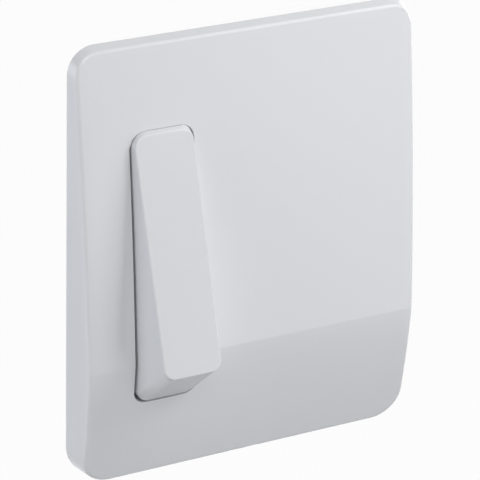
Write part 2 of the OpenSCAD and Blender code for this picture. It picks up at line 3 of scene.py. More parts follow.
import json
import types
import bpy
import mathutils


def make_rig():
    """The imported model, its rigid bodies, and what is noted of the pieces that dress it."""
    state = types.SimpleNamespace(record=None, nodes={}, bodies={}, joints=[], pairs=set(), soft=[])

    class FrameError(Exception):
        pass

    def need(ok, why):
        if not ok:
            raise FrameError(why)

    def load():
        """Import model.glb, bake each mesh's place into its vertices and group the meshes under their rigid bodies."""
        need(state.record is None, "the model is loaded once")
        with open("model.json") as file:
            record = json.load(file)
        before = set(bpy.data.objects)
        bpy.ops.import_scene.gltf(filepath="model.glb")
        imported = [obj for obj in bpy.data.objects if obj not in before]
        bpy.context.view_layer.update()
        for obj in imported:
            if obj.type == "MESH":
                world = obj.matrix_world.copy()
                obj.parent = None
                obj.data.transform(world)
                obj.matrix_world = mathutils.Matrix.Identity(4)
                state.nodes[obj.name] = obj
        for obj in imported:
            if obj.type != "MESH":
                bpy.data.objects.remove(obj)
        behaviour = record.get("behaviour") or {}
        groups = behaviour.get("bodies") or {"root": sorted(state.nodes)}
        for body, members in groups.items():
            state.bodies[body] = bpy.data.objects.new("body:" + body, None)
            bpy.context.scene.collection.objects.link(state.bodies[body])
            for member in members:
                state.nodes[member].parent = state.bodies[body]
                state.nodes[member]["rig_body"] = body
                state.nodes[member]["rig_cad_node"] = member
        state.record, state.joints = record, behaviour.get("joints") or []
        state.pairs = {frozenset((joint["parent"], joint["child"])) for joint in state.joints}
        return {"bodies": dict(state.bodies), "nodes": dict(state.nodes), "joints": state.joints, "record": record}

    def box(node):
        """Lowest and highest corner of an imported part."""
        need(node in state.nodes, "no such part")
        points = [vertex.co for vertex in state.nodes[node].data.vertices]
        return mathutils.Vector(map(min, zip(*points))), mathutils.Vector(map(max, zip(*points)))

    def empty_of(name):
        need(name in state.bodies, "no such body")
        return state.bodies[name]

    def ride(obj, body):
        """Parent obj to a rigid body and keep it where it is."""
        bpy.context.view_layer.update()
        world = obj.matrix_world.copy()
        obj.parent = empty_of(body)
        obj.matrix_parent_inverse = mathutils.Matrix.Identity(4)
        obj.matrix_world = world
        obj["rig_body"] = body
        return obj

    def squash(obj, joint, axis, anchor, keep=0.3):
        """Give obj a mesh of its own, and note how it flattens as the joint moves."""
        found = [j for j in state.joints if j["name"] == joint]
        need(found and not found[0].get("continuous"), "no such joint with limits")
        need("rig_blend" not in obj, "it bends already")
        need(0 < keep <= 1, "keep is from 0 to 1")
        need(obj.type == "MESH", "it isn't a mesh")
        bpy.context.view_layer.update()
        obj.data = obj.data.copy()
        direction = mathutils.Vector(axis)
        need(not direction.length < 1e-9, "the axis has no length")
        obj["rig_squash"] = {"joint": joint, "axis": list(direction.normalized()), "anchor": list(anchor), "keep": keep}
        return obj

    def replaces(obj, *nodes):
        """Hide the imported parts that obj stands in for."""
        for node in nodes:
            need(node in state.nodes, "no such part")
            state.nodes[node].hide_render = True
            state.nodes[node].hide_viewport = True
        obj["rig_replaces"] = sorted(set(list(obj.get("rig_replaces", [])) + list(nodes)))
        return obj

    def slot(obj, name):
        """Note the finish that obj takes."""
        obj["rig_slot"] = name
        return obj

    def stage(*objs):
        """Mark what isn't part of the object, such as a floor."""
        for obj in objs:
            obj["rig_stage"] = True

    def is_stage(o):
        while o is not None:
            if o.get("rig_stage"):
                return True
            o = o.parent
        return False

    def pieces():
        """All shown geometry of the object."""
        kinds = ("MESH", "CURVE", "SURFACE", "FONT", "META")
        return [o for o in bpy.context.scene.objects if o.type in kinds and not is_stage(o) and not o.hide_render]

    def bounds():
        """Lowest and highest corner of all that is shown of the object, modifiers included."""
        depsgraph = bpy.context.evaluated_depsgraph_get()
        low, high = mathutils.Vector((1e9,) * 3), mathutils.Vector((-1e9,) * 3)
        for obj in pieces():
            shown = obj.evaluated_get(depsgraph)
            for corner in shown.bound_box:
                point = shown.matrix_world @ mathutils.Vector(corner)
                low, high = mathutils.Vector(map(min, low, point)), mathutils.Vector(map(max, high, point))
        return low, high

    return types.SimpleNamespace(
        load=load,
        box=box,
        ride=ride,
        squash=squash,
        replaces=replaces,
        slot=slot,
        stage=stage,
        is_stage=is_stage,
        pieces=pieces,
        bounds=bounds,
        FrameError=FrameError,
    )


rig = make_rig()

bl_info = {
    "name": "Urinal flush plate",
    "version": (1, 0, 0),
    "blender": (4, 5, 0),
    "location": "View3D > Sidebar > Flush plate",
    "description": "Skins, threads, finishes, light and camera for a urinal flush plate on its packed frame",
    "category": "Object",
}

import json
import math
from types import SimpleNamespace

import bmesh
import bpy
import numpy as np
from bpy.props import FloatProperty, FloatVectorProperty, IntProperty, PointerProperty
from bpy.types import Operator, Panel, PropertyGroup
from mathutils import Matrix, Vector
from mathutils.bvhtree import BVHTree

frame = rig.load()
CAD_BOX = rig.bounds()
SIZE_FILE = "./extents.json"
COVER_LOW, COVER_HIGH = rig.box("cover_plate")
LEVER_LOW, LEVER_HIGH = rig.box("flush_lever")
SCREWS_LOW, SCREWS_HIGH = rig.box("fixing_screws")
BELLOWS_LOW, BELLOWS_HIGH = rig.box("bellows")
SPRING_LOW, SPRING_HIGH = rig.box("return_spring")
SEAL_LOW, SEAL_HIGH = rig.box("nipple_seal")
LEVER_MIDDLE = (LEVER_LOW.x + LEVER_HIGH.x) / 2
PUMP_MIDDLE = ((BELLOWS_LOW.x + BELLOWS_HIGH.x) / 2, (BELLOWS_LOW.z + BELLOWS_HIGH.z) / 2)
KEY_PATCH = 0.006  # half the width of the patch of wall round the locking screw's hole
TURN_IN = 0.0003  # width of the strip that ends an open skin
HAIR = 0.00001  # keeps a skin just off the CAD's own faces
SLOTS = {part["node"]: part["material_slot"] for part in frame["record"]["subparts"]}


def length(name, description, default):
    """A length in metres for a property group."""
    return FloatProperty(name=name, description=description, default=default, unit="LENGTH", precision=5)


def lengths(name, description, *default):
    """Lengths in metres: of the left and right side, or anticlockwise from the lower right corner."""
    return FloatVectorProperty(name=name, description=description, default=default, size=len(default),
                               unit="LENGTH", precision=5)


def number(name, description, default):
    """A plain number for a property group."""
    return FloatProperty(name=name, description=description, default=default)


def colour(name, description, default):
    """A colour for a property group."""
    return FloatVectorProperty(
        name=name, description=description, default=default, subtype="COLOR", size=3, min=0.0, max=1.0
    )


class CoverSizes(PropertyGroup):
    """Sizes of the cover's skin."""

    width: length("Width", "Width of the cover at its back edge", COVER_HIGH.x - COVER_LOW.x)
    height: length("Height", "Height of the cover at its back edge", COVER_HIGH.z - COVER_LOW.z)
    crease_height: length("Crease height", "Height of the crease from the middle of the cover", -0.0328)
    crease_depth: length("Crease depth", "Depth of the face at the crease", -COVER_LOW.y)
    top_depth: length("Top depth", "Depth of the face at the top edge", 0.0028)
    bottom_depth: length("Bottom depth", "Depth of the face at the bottom edge", 0.0094)
    upper_crown: length("Upper crown", "Swell of the face above the crease", 0.00115)
    lower_crown: length("Lower crown", "Swell of the face below the crease", 0.00095)
    crease_ease: length("Crease ease", "How much the crease is eased", 0.000062)
    lean: length("Lean", "Lean of the side walls between back and face", 0.0012)
    edge_round: length("Edge rounding", "Rounding round the face", 0.0015)
    edge_end: number("Edge end", "1 ends the rounding evenly at the side wall, 0 in a step", 1.0)
    top_corner: length("Top corners", "Radius of the two top corners", 0.0095)
    bottom_corner: length("Bottom corners", "Radius of the two bottom corners", 0.0126)
    opening_middle: length("Opening middle", "Middle of the lever's opening at its foot", -0.03428)
    opening_width: length("Opening width", "Width of the lever's opening", 0.02406)
    opening_low: length("Opening foot", "Height of the opening's lower end", -0.04824)
    opening_high: length("Opening head", "Height of the opening's upper end", 0.0495)
    opening_corner: length("Opening corners", "Radius of three of the opening's corners", 0.0049)
    opening_high_corner: length("Opening upper left", "Radius of its upper left corner", 0.0062)
    lip_round: length("Lip rounding", "Rounding of the opening's lip", 0.00015)
    opening_slant: lengths("Opening slant", "How far its sides move across to the top", 0.00046, 0.00046)
    collar_corner: length("Collar corners", "Radius of the corners at the end of the opening's wall", 0.006)
    collar_width: length("Collar width", "Width at the end of the opening's wall", 0.0244)
    collar_low: length("Collar foot", "Height of that end's lower edge", -0.0485)
    collar_high: length("Collar head", "Height of that end's upper edge", 0.0492)
    collar_back: length("Collar back", "Where the opening's wall ends", -0.0044)
    key_hole: length("Screw hole", "Radius of the hole for the locking screw's head", 0.0036)
    key_hole_depth: length("Screw hole depth", "Distance of that hole from the wall", 0.0042)


class LeverSizes(PropertyGroup):
    """Sizes of the lever's skin."""

    middle: length("Middle", "Middle of the lever where it leaves the cover", -0.03402)
    front_middle: length("Front middle", "Middle of the lever's front at its lower edge", -0.03323)
    front_shift: length("Front shift", "How far the front's middle moves across to the top", -0.00087)
    width: length("Width", "Width where the lever leaves the cover", 0.02275)
    front_width: length("Front width", "Width across the front at its lower edge", 0.0215)
    front_spread: number("Front spread", "Share by which the front widens", 0.014)
    top: length("Top", "Height of the front's top edge", 0.049)
    nose: length("Nose", "Height of the lower edge of the front", -0.03055)
    base: length("Base", "Lowest height where the lever leaves the cover", -0.0475)
    base_top: length("Base top", "Highest height where the lever leaves the cover", 0.04948)
    top_depth: length("Top depth", "How far the front stands out at the top", 0.0093)
    nose_depth: length("Nose depth", "How far the front stands out at its lower edge", 0.03423)
    proud: length("Base line", "How far the base line stands off the cover's face", 0.0001)
    back_width: length("Back width", "Width at the back", LEVER_HIGH.x - LEVER_LOW.x)
    back_top: length("Back top", "Height of the back's upper edge", LEVER_HIGH.z)
    back_base: length("Back base", "Height of the back's lower edge", -0.0477)
    back: length("Back", "Depth of the lever's back edge", -0.004)
    draft: length("Draft", "Draft of the walls behind the base line", 0.0001)
    corners: lengths("Corners", "Radii of the corners at the cover", 0.0043, 0.0034, 0.0058, 0.005)
    base_slant: lengths("Base slant", "How far its sides move across to the top", 0.00015, -0.0004)
    back_corner: length("Back corners", "Radius of the corners at the back", 0.0054)
    front_corners: lengths("Front corners", "Radii of the front's corners", 0.004, 0.004, 0.0048, 0.004)
    edge_round: length("Edge rounding", "Rounding of the front's edges", 0.0006)


class ThreadSizes(PropertyGroup):
    """Sizes of the cut thread on the fixing screws."""

    pitch: length("Pitch", "Advance of the thread in one turn", 0.0007)
    crest: length("Crest", "Radius of the thread's crest", 0.002)
    root: length("Root", "Radius of the thread's root", 0.00158)
    start: length("Start", "Where the thread begins behind the wall", 0.0155)
    runout: length("Run-out", "Length over which the thread fades at its ends", 0.0009)
    sides: IntProperty(name="Sides", description="Points round the thread", default=24, min=12)
    rows: IntProperty(name="Rows", description="Rows of points in one turn", default=8, min=6)


class PumpSizes(PropertyGroup):
    """Sizes of the soft and sprung pieces in the pump."""

    folds: IntProperty(name="Folds", description="Folds of the bellows", default=3, min=2)
    root: length("Fold root", "Radius between the folds", 0.0088)
    crest: length("Fold crest", "Radius at the folds' crests", (BELLOWS_HIGH.x - BELLOWS_LOW.x) / 2 - 0.0006)
    wall: length("Wall", "Wall of the bellows", 0.0009)
    neck: length("Neck", "Length of the plain neck at the fixed end", 0.0019)
    turns: IntProperty(name="Turns", description="Turns of the return spring", default=5, min=3)
    wire: length("Wire", "Radius of the spring's wire", 0.0005)
    travel: length("Travel", "Most that the plunger moves", 0.0066)


class FinishColours(PropertyGroup):
    """Colours of the finishes."""

    white: colour("White", "Gloss white of the cover and lever", (0.693, 0.70, 0.718))
    grey: colour("Grey", "Grey of the frame on the wall", (0.075, 0.082, 0.092))
    black: colour("Black", "Black of the pump's cup", (0.022, 0.023, 0.026))
    pale: colour("Pale", "Natural plastic of plunger and nipple", (0.62, 0.61, 0.57))
    steel: colour("Steel", "Zinc plating on steel", (0.61, 0.63, 0.66))
    spring: colour("Spring steel", "Bright drawn wire and folded clips", (0.52, 0.53, 0.55))
    brass: colour("Brass", "Turned brass", (0.71, 0.52, 0.24))
    rubber: colour("Rubber", "Black rubber", (0.018, 0.018, 0.019))


class StageSettings(PropertyGroup):
    """Camera and light."""

    azimuth: number("Azimuth", "Camera's turn from the front, in degrees", -28.64)
    elevation: number("Elevation", "Camera's height angle, in degrees", 24.95)
    roll: number("Roll", "Camera's roll, in degrees", 1.82)
    distance: length("Distance", "Camera's distance from the middle of the cover", 0.951)
    lens: number("Lens", "Focal length in millimetres", 205.985)
    across: length("Across", "Camera's offset to the right", 0.00091)
    along: length("Up", "Camera's offset upwards", -0.00082)
    floor: length("Floor", "Height of the floor", -0.95)


class Surface:
    """Points and quads gathered from grids and rings, before they become one mesh."""

    def __init__(self):
        self.points = []
        self.faces = []
        self.count = 0

    def add(self, x, y, z):
        """Adds points and gives their indices in the shape in which they came."""
        points = np.stack(np.broadcast_arrays(x, y, z), -1)
        self.points.append(points.reshape(-1, 3))
        index = self.count + np.arange(points[..., 0].size).reshape(points.shape[:-1])
        self.count += index.size
        return index

    def grid(self, index, keep=None):
        """Quads between the rows and columns of a grid, where keep is true."""
        quads = np.stack([index[:-1, :-1], index[:-1, 1:], index[1:, 1:], index[1:, :-1]], -1)
        self.faces += (quads.reshape(-1, 4) if keep is None else quads[keep]).tolist()

    def bridge(self, inner, outer, keep=None):
        """Quads between two closed rings that run anticlockwise as seen from outside."""
        quads = np.stack([inner, outer, np.roll(outer, -1), np.roll(inner, -1)], -1)
        self.faces += (quads if keep is None else quads[keep]).tolist()

    def cap(self, ring):
        """One flat face across a ring that runs anticlockwise as seen from outside."""
        self.faces.append(ring.tolist())

    def all_points(self):
        """Every point, as one array."""
        return np.concatenate(self.points)

    def piece(self, name):
        """A new object with this surface."""
        mesh = bpy.data.meshes.new(name)
        mesh.from_pydata(self.all_points().tolist(), [], self.faces)
        mesh.validate()
        obj = bpy.data.objects.new(name, mesh)
        bpy.context.scene.collection.objects.link(obj)
        return obj


def steps(*stops):
    """Values from each stop to the next: stops are pairs of a value and the longest step before it."""
    parts = [np.array([stops[0][0]])]
    for (a, _), (b, longest) in zip(stops, stops[1:]):
        parts.append(np.linspace(a, b, max(1, math.ceil(abs(b - a) / longest)) + 1)[1:])
    return np.concatenate(parts)


def rim(index):
    """The indices round the edge of a grid, anticlockwise from its first corner."""
    return np.concatenate([index[0, :-1], index[:-1, -1], index[-1, :0:-1], index[:0:-1, 0]])


def turned(name, radius, y, sides, middle, closed=True):
    """A profile of radius and y turned round a line along Y: x = r cos t and z = r sin t."""
    angle = np.linspace(0, 2 * np.pi, sides, endpoint=False)[None, :]
    skin = Surface()
    index = skin.add(
        middle[0] + radius[:, None] * np.cos(angle), y[:, None], middle[1] + radius[:, None] * np.sin(angle)
    )
    for a, b in zip(index, np.roll(index, -1, 0) if closed else index[1:]):
        skin.bridge(a, b)
    return skin.piece(name)


def face_depth(c, z):
    """Depth of the face at height z. Each slope is crease + (end - crease) u + 4 crown u (1 - u), where u
    runs from 0 at the crease to 1 at its end. The lesser slope counts, eased where both are alike."""
    beyond = -0.05
    up = np.clip((z - c.crease_height) / (c.height / 2 - c.crease_height), beyond, 1)
    down = np.clip((c.crease_height - z) / (c.crease_height + c.height / 2), beyond, 1)
    upper = c.crease_depth + (c.top_depth - c.crease_depth) * up + 4 * c.upper_crown * up * (1 - up)
    lower = c.crease_depth + (c.bottom_depth - c.crease_depth) * down + 4 * c.lower_crown * down * (1 - down)
    near = np.clip(c.crease_ease - np.abs(upper - lower), 0, None)
    return np.minimum(upper, lower) - near**2 / (4 * c.crease_ease)


def outward(x, z, low, high):
    """For points round a rectangle that stands round a smaller one: the nearest point on the smaller one,
    and the direction away from it. A round corner of radius r is then nearest + r times the direction."""
    near_x = np.clip(x, low[0], high[0])
    near_z = np.clip(z, low[1], high[1])
    away = np.hypot(x - near_x, z - near_z)
    return near_x, near_z, (x - near_x) / away, (z - near_z) / away


def cover_face(c, skin):
    """The face: x = s w(z) for s from -1 to 1, where w is the half width less the corner's arc, and y is
    minus the depth. Gives the face's grid of indices, and the part of it round the opening."""
    inset = c.lean + c.edge_round
    half_w, half_h = c.width / 2 - inset, c.height / 2 - inset
    low_r, high_r = c.bottom_corner - inset, c.top_corner - inset
    band, cell, patch_cell = 0.004, 0.003, 0.001
    left, right = LEVER_MIDDLE - c.opening_width / 2 - band, LEVER_MIDDLE + c.opening_width / 2 + band
    low, high = c.opening_low - band, c.opening_high + band
    patch = KEY_PATCH / (half_w - low_r)
    share = steps((-1, 1), (left / half_w, cell / half_w), (right / half_w, cell / half_w),
                  (-patch, cell / half_w), (patch, patch_cell / half_w), (1, cell / half_w))
    crease, near, crease_cell = c.crease_height, 0.0012, 0.00015
    rows = steps((low_r - half_h, 1), (low, cell), (crease - near, cell), (crease + near, crease_cell),
                 (high, cell), (half_h - high_r, cell))
    quarter = np.linspace(0, np.pi / 2, 13)[1:]
    z = np.concatenate([low_r - half_h - low_r * np.sin(quarter[::-1]), rows,
                        half_h - high_r + high_r * np.sin(quarter)])
    w = np.concatenate([half_w - low_r + low_r * np.cos(quarter[::-1]), np.full(rows.shape, half_w),
                        half_w - high_r + high_r * np.cos(quarter)])
    index = skin.add(w[:, None] * share, -face_depth(c, z)[:, None], z[:, None])
    first_row, last_row = np.searchsorted(z, low - 1e-6), np.searchsorted(z, high - 1e-6)
    first = np.searchsorted(share * half_w, left - 1e-6)
    last = np.searchsorted(share * half_w, right - 1e-6)
    keep = np.ones((len(z) - 1, len(share) - 1), bool)
    keep[first_row:last_row, first:last] = False
    skin.grid(index, keep)
    return index, index[first_row:last_row + 1, first:last + 1]


def slanted(x, z, slant):
    """The x of a ring's points, moved across by nothing at its foot and by the slant at its head. The slant
    goes evenly from its first value on the left to its second on the right."""
    across = (x - x.min()) / (x.max() - x.min())
    return x + (slant[0] + (slant[1] - slant[0]) * across) * (z - z.min()) / (z.max() - z.min())


def cover_opening(c, skin, outer):
    """The band, lip and wall of the opening. The band runs from the face's grid to the lip, the lip is a
    quarter turn, out = r (1 - sin a) and drop = r (1 - cos a), and the wall runs to the collar's end."""
    x, _, z = skin.all_points()[outer].T
    lip_corner = np.where((x < c.opening_middle) & (z > 0), c.opening_high_corner, c.opening_corner)

    def outline(middle, width, low, high, corner, out):
        half = width / 2 - corner
        near_x, near_z, out_x, out_z = outward(
            x, z, (middle - half, low + corner), (middle + half, high - corner))
        return near_x + out_x * (corner - HAIR + out), near_z + out_z * (corner - HAIR + out)

    def ring(out, drop=0.0):
        ring_x, ring_z = outline(
            c.opening_middle, c.opening_width, c.opening_low, c.opening_high, lip_corner, out)
        ring_x = slanted(ring_x, ring_z, c.opening_slant)
        return ring_x, drop - face_depth(c, ring_z), ring_z

    def collar(out, y):
        ring_x, ring_z = outline(
            LEVER_MIDDLE, c.collar_width, c.collar_low, c.collar_high, c.collar_corner, out)
        return ring_x, np.full(x.shape, y), ring_z

    lip_x, _, lip_z = ring(c.lip_round)
    rings = []
    for share in (0.3, 0.6, 0.85):
        ring_z = z + (lip_z - z) * share
        rings.append((x + (lip_x - x) * share, -face_depth(c, ring_z), ring_z))
    for a in np.linspace(0, np.pi / 2, 9):
        rings.append(ring(c.lip_round * (1 - np.sin(a)), c.lip_round * (1 - np.cos(a))))
    lip, end = np.array(rings[-1]), np.array(collar(0, c.collar_back))
    rings += [lip + (end - lip) * share for share in (0.3, 0.65, 1)]
    rings.append(collar(TURN_IN, c.collar_back + HAIR))
    for points in rings:
        inner = skin.add(*points)
        skin.bridge(inner, outer)
        outer = inner


def last_turn(c, depth):
    """The angle at which the rounding meets the straight wall: where the line from the back edge touches
    the rounding's circle, which stands lean + r in from that edge and depth - r in front of it."""
    inwards, forwards = c.lean + c.edge_round, depth - c.edge_round
    touching = np.arccos(c.edge_round / np.hypot(inwards, forwards)) - np.arctan2(forwards, inwards)
    return c.edge_end * touching


def cover_edge(c, skin, inner):
    """The rounded edge and the side walls: inset = lean + r (1 - cos a) and drop = r (1 - sin a) as a falls
    from a quarter turn to the last turn, then straight to the back edge, where a strip turns inwards."""
    x, _, z = skin.all_points()[inner].T
    radius = np.where(z > 0, c.top_corner, c.bottom_corner)
    half_w, half_h = c.width / 2 - radius, c.height / 2
    near_x, near_z, out_x, out_z = outward(
        x, z, (-half_w, c.bottom_corner - half_h), (half_w, half_h - c.top_corner))

    def ring(inset, drop=0.0, y=None):
        ring_x, ring_z = near_x + out_x * (radius - inset), near_z + out_z * (radius - inset)
        return ring_x, drop - face_depth(c, ring_z) if y is None else y, ring_z

    def edge(a):
        return ring(c.lean + c.edge_round * (1 - np.cos(a)), c.edge_round * (1 - np.sin(a)))

    last = last_turn(c, face_depth(c, z))
    rings = [edge(last + (np.pi / 2 - last) * share) for share in np.linspace(1, 0, 13)[1:]]
    front, back = np.array(rings[-1]), np.array(np.broadcast_arrays(*ring(0, y=0.0)))
    rings += [front + (back - front) * share for share in (0.25, 0.5, 0.75, 1)]
    rings.append(ring(TURN_IN, y=HAIR))
    bottom = (out_z == -1) & (np.abs(near_x) < KEY_PATCH + 1e-6)
    inside = bottom & np.roll(bottom, -1)
    first_ring, last_ring = 4, len(rings) - 2
    indices = [inner]
    for order, points in enumerate(rings):
        outer = skin.add(*points)
        patch = first_ring < order <= last_ring
        skin.bridge(indices[-1], outer, ~inside if patch else None)
        indices.append(outer)
    return np.array(indices[first_ring + 1:last_ring + 2])[:, bottom]


def key_hole(c, skin, index):
    """The bottom wall round the locking screw's hole: rings between the hole and the edge of a patch of the
    wall, at y and x, with z read off the wall's own section."""
    outer = rim(index)[::-1]
    x, y, _ = skin.all_points()[outer].T
    section = skin.all_points()[index[:, 0]]
    a = np.linspace(np.pi / 2, last_turn(c, face_depth(c, c.lean + c.edge_round - c.height / 2)), 200)
    inset = c.lean + c.edge_round * (1 - np.cos(a))
    round_z = inset - c.height / 2
    round_y = c.edge_round * (1 - np.sin(a)) - face_depth(c, round_z)
    section_y, section_z = np.append(round_y, 0.0), np.append(round_z, section[-1, 2])
    near_x, near_y, out_x, out_y = outward(x, y, (0, -c.key_hole_depth), (0, -c.key_hole_depth))
    hole_x, hole_y = near_x + out_x * c.key_hole, near_y + out_y * c.key_hole
    chamfer = 0.00025
    rings = [(x + (hole_x + out_x * chamfer - x) * share, y + (hole_y + out_y * chamfer - y) * share)
             for share in (0.35, 0.7, 1)]
    rings = [(px, py, np.interp(py, section_y, section_z)) for px, py in rings]
    edge_z = np.interp(hole_y, section_y, section_z)
    rings.append((hole_x, hole_y, edge_z + chamfer))
    rings.append((hole_x - out_x * HAIR, hole_y - out_y * HAIR, edge_z + 4 * chamfer))
    for points in rings:
        inner = skin.add(*points)
        skin.bridge(inner, outer)
        outer = inner


def cover_skin(c):
    """The whole skin of the cover."""
    skin = Surface()
    face, opening = cover_face(c, skin)
    cover_opening(c, skin, rim(opening))
    key_hole(c, skin, cover_edge(c, skin, rim(face)))
    return skin


def rounded_ring(low, high, half, radii, middle):
    """A rectangle with round corners, anticlockwise from its lower right, as x and z: the centre plus
    r cos a and r sin a. A corner turns a by a quarter, and along a side the centre and r go evenly on."""
    r = np.broadcast_to(radii, 4)
    right, left = middle + half, middle - half
    corner_x = np.array([right - r[0], right - r[1], left + r[2], left + r[3]])
    corner_z = np.array([low + r[0], high - r[1], high - r[2], low + r[3]])
    corners = np.stack([corner_x, corner_z, r])
    parts = []
    for corner, points in enumerate((41, 13, 41, 13)):
        here, ahead = corners[:, [corner]], corners[:, [(corner + 1) % 4]]
        end = corner * np.pi / 2
        turn = np.linspace(end - np.pi / 2, end, 13)
        share = np.linspace(0, 1, points)[1:-1]
        for (x, z, radius), a in ((here, turn), (here + (ahead - here) * share, end)):
            parts.append(np.stack([x + radius * np.cos(a), z + radius * np.sin(a)]))
    return np.concatenate(parts, 1)


def lever_skin(s, base_depth):
    """The lever: rings of a rounded rectangle. The front is flat, and its edge is a quarter turn,
    inset = r (1 - cos a) and drop = r (1 - sin a). Straight walls run to the base line, whose depth is given
    by its height, and on to the back."""
    skin = Surface()

    def ring(low, high, half, radii, depth, middle=s.middle):
        x, z = rounded_ring(low, high, half, radii, middle)
        return np.stack([x, np.broadcast_to(-depth(z), z.shape), z])

    def front(inset, drop):
        def depth(z):
            return s.top_depth + (s.top - z) * (s.nose_depth - s.top_depth) / (s.top - s.nose) - drop

        corners = np.array(s.front_corners) - inset
        half_front = s.front_width / 2 - inset
        x, y, z = ring(s.nose + inset, s.top - inset, half_front, corners, depth, s.front_middle)
        x += ((x - s.front_middle) * s.front_spread + s.front_shift) * (z - s.nose) / (s.top - s.nose)
        return np.stack([x, y, z])

    turn = np.linspace(np.pi / 2, 0, 11)
    strip = 0.0004
    rings = [front(s.edge_round + strip, 0)]
    rings += [front(s.edge_round * (1 - np.cos(a)), s.edge_round * (1 - np.sin(a))) for a in turn]
    base = ring(s.base, s.base_top, s.width / 2, s.corners, base_depth)
    base[0] = slanted(base[0], base[2], s.base_slant)
    low, high, half = s.back_base, s.back_top, s.back_width / 2
    back = ring(low + 2 * s.draft, high - 3 * s.draft, half - s.draft, s.back_corner - s.draft,
                lambda z: -s.back, LEVER_MIDDLE)
    edge = rings[-1]
    rings += [edge + (base - edge) * share for share in np.linspace(0, 1, 11)[1:]]
    rings += [base + (back - base) * share for share in (0.5, 1)]
    end_strip = 0.0005
    rings.append(ring(low + end_strip, high - end_strip, half - strip, s.back_corner - strip,
                      lambda z: -s.back - HAIR, LEVER_MIDDLE))
    indices = [skin.add(*points) for points in rings]
    skin.cap(indices[0])
    for inner, outer in zip(indices, indices[1:]):
        skin.bridge(inner, outer)
    return skin


def as_solid(sizes, solid):
    """The sizes with the solid's own values where the drawn skin differs from it."""
    drawn = {name: getattr(sizes, name) for name in type(sizes).__annotations__}
    return SimpleNamespace(**{**drawn, **solid})


def merged_copy(node, name):
    """A copy of a CAD node's mesh as a new piece: its loose triangles are joined at their points, and it
    loses its stored normals, so that they follow its faces."""
    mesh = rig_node(node).data.copy()
    mesh.name = name
    mesh.materials.clear()
    shape = bmesh.new()
    shape.from_mesh(mesh)
    bmesh.ops.remove_doubles(shape, verts=shape.verts, dist=1e-6)
    shape.to_mesh(mesh)
    shape.free()
    stored = mesh.attributes.get("custom_normal")
    if stored:
        mesh.attributes.remove(stored)
    obj = bpy.data.objects.new(name, mesh)
    bpy.context.scene.collection.objects.link(obj)
    return obj


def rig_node(node):
    """The object of a CAD node."""
    return frame["nodes"][node]


def shade(obj, degrees=35):
    """Smooth shading, with edges sharper than the angle kept sharp."""
    obj.data.polygons.foreach_set("use_smooth", [True] * len(obj.data.polygons))
    obj.data.set_sharp_from_angle(angle=math.radians(degrees))


def without_covered(obj, skin):
    """Takes off the faces of a copied node that the skin covers: every corner and the middle lie within
    reach of the skin, and the face looks the same way."""
    reach, alike = 0.00025, 0.7
    tree = BVHTree.FromPolygons(skin.all_points().tolist(), skin.faces)
    shape = bmesh.new()
    shape.from_mesh(obj.data)

    def covered(face):
        for point in [face.calc_center_median()] + [v.co for v in face.verts]:
            if tree.find_nearest(point, reach)[0] is None:
                return False
        normal = tree.find_nearest(face.calc_center_median(), reach)[1]
        return normal.dot(face.normal) > alike

    bmesh.ops.delete(shape, geom=[f for f in shape.faces if covered(f)], context="FACES")
    shape.to_mesh(obj.data)
    shape.free()


def joined(name, *pieces):
    """One piece made of several."""
    for obj in bpy.context.selected_objects:
        obj.select_set(False)
    for obj in pieces:
        obj.select_set(True)
    bpy.context.view_layer.objects.active = pieces[0]
    bpy.ops.object.join()
    pieces[0].name = name
    pieces[0].data.name = name
    return pieces[0]


def softened(node, name, width):
    """A copy of a CAD node with its sharp edges rounded off by a small bevel."""
    obj = merged_copy(node, name)
    shape = bmesh.new()
    shape.from_mesh(obj.data)
    flat, sharp = math.radians(0.5), math.radians(40)
    bmesh.ops.dissolve_limit(shape, angle_limit=flat, verts=shape.verts, edges=shape.edges)
    edges = [e for e in shape.edges if len(e.link_faces) == 2 and e.calc_face_angle(0) > sharp]
    bmesh.ops.bevel(shape, geom=edges, offset=width, offset_type="OFFSET", segments=2, profile=0.5,
                    affect="EDGES", clamp_overlap=True, harden_normals=False)
    shape.to_mesh(obj.data)
    shape.free()
    shade(obj)
    return obj


def settle(obj, node, finish):
    """Puts a finished piece in its node's place, on its body and in its slot."""
    obj.data.materials.clear()
    obj.data.materials.append(finish)
    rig.ride(obj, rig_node(node)["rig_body"])
    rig.replaces(obj, node)
    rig.slot(obj, SLOTS[node])


def cut_thread(t, middle, end):
    """A screw's threaded end along Y: r = root + (crest - root)(tooth begin finish + 1 - begin). The tooth
    is a flat-topped wave of y / pitch - turn, and begin and finish rise from 0 to 1 over the run-outs."""
    rows = round((end - t.start) / t.pitch * t.rows)
    y = np.linspace(t.start, end, rows + 1)[:, None]
    turn = np.arange(t.sides)[None, :] / t.sides
    wave = 1 - 2 * np.abs((y / t.pitch - turn) % 1 - 0.5)
    steepness, cut_off = 1.3, 0.15
    tooth = np.clip(steepness * wave - cut_off, 0, 1)
    begin = np.clip((y - t.start) / t.runout, 0, 1)
    finish = np.clip((end - y) / t.runout, 0, 1)
    radius = t.root + (t.crest - t.root) * (tooth * begin * finish + 1 - begin)
    skin = Surface()
    angle = turn * 2 * np.pi
    index = skin.add(middle[0] + radius * np.cos(angle), y, middle[1] + radius * np.sin(angle))
    for front, back in zip(index, index[1:]):
        skin.bridge(front, back)
    skin.cap(index[-1][::-1])
    return skin


